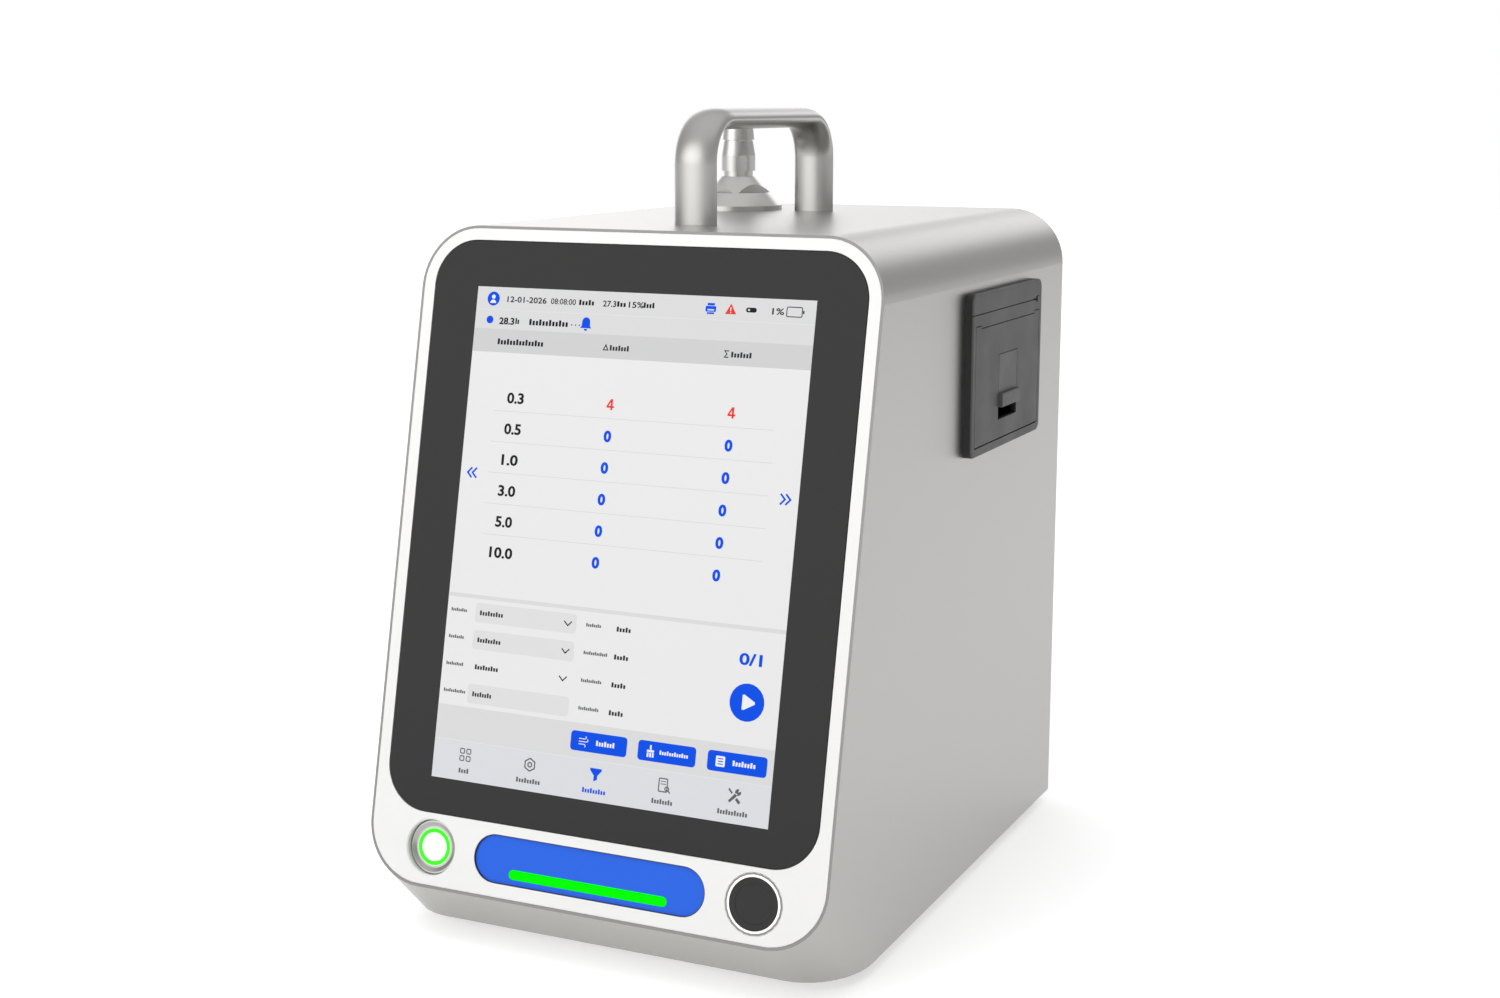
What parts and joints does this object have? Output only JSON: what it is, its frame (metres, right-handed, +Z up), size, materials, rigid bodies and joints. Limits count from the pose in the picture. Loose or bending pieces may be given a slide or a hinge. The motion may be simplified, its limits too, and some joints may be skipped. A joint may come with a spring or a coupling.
{
  "type": "airborne particle counter",
  "caption": "Benchtop airborne particle counter: a sheet-steel case with a leaning touch screen, a carry handle, a sampling inlet on the roof and a slip printer in the side.",
  "frame": {"origin": "on the standing surface, under the middle of the case's width and depth", "axes": "+Z up, +Y towards the rear, +X towards the printer side, so the leaning screen faces -Y"},
  "size_m": [0.2059, 0.2815, 0.329],
  "materials": {
    "case_steel": "satin, finely blasted",
    "panel_white": "satin white paint",
    "black_glass": "back-printed cover glass, polished",
    "blue_lens": "deep blue, semi-gloss",
    "green_light": "lit green diffuser",
    "white_cap": "white push cap",
    "button_steel": "turned steel",
    "bezel_silver": "satin ring",
    "sensor_black": "black optical window",
    "handle_steel": "satin",
    "nozzle_steel": "turned, satin",
    "printer_grey": "fine-grained dark grey moulding",
    "latch_grey": "fine-grained dark grey moulding",
    "foot_rubber": "black rubber",
    "seal_rubber": "black seal",
    "roller_rubber": "ground platen rubber",
    "fastener_steel": "plain stainless",
    "zinc_steel": "zinc-plated sheet",
    "module_metal": "plain",
    "brass_spacer": "turned",
    "circuit_board": "green solder mask",
    "clear_hose": "conductive silicone hose",
    "black_anodised": "black anodised",
    "moulded_black": "moulded",
    "wheel_white": "moulded",
    "filter_white": "moulded cartridge",
    "port_metal": "plated shell",
    "battery_wrap": "shrink-wrapped"
  },
  "bodies": {
    "case": {"case_shell": "case_steel", "base_plate": "case_steel", "rear_panel": "case_steel", "rubber_feet": "foot_rubber", "foot_screws": "fastener_steel", "base_screws": "fastener_steel", "rear_screws": "fastener_steel", "front_panel": "panel_white", "touch_glass": "black_glass", "lcd_module": "module_metal", "display_frame": "zinc_steel", "board_standoffs": "brass_spacer", "main_board": "circuit_board", "status_lens": "blue_lens", "status_light_bar": "green_light", "power_button_housing": "button_steel", "power_button_led_ring": "green_light", "power_button_nut": "fastener_steel", "fingerprint_bezel": "bezel_silver", "fingerprint_sensor": "sensor_black", "carry_handle": "handle_steel", "handle_stiffener": "zinc_steel", "handle_screws": "fastener_steel", "inlet_nozzle": "nozzle_steel", "inlet_gasket": "seal_rubber", "inlet_nut": "fastener_steel", "sample_tube": "clear_hose", "printer_housing": "printer_grey", "printer_hinge_pin": "fastener_steel", "thermal_head": "module_metal", "tear_bar": "fastener_steel", "chassis_bridge": "zinc_steel", "optical_sensor_block": "black_anodised", "laser_module": "brass_spacer", "detector_board": "circuit_board", "suction_tube": "clear_hose", "blower_housing": "moulded_black", "blower_cover": "moulded_black", "blower_motor": "module_metal", "hepa_filter": "filter_white", "filter_saddle": "moulded_black", "exhaust_fitting": "moulded_black", "power_standoffs": "brass_spacer", "power_board": "circuit_board", "io_standoffs": "brass_spacer", "io_board": "circuit_board", "lan_port": "port_metal", "usb_ports": "port_metal", "dc_jack": "moulded_black", "battery_pack": "battery_wrap", "battery_bracket": "zinc_steel", "cooling_fan_frame": "moulded_black"},
    "power_button": {"power_button_cap": "white_cap"},
    "printer_door": {"printer_door": "printer_grey"},
    "printer_latch": {"printer_latch": "latch_grey"},
    "platen_roller": {"platen_roller": "roller_rubber", "platen_shaft": "fastener_steel"},
    "blower_wheel": {"blower_impeller": "wheel_white", "blower_axle": "fastener_steel"},
    "cooling_fan": {"cooling_fan_rotor": "moulded_black"}
  },
  "joints": [
    {"name": "power_button_press", "type": "slide", "parent": "case", "child": "power_button", "axis": [0, 0.9751, -0.2215], "range_m": [0, 0.0015], "stiffness_N_per_m": 300, "springref_m": -0.0015},
    {"name": "printer_door_hinge", "type": "hinge", "parent": "case", "child": "printer_door", "pos_m": [0.102, 0.04915, 0.1937], "axis": [0, 1, 0], "range_deg": [0, 90]},
    {"name": "printer_latch_slide", "type": "slide", "parent": "printer_door", "child": "printer_latch", "axis": [0, 0, -1], "range_m": [0, 0.005], "stiffness_N_per_m": 150, "springref_m": -0.004},
    {"name": "platen_roller_spin", "type": "hinge", "parent": "printer_door", "child": "platen_roller", "pos_m": [0.0945, 0.04915, 0.2332], "axis": [0, 1, 0], "continuous": true},
    {"name": "blower_spin", "type": "hinge", "parent": "case", "child": "blower_wheel", "pos_m": [-0.038, 0.01, 0.0375], "axis": [0, 0, 1], "continuous": true},
    {"name": "cooling_fan_spin", "type": "hinge", "parent": "case", "child": "cooling_fan", "pos_m": [0.04, 0.13025, 0.205], "axis": [0, 1, 0], "continuous": true}
  ]
}
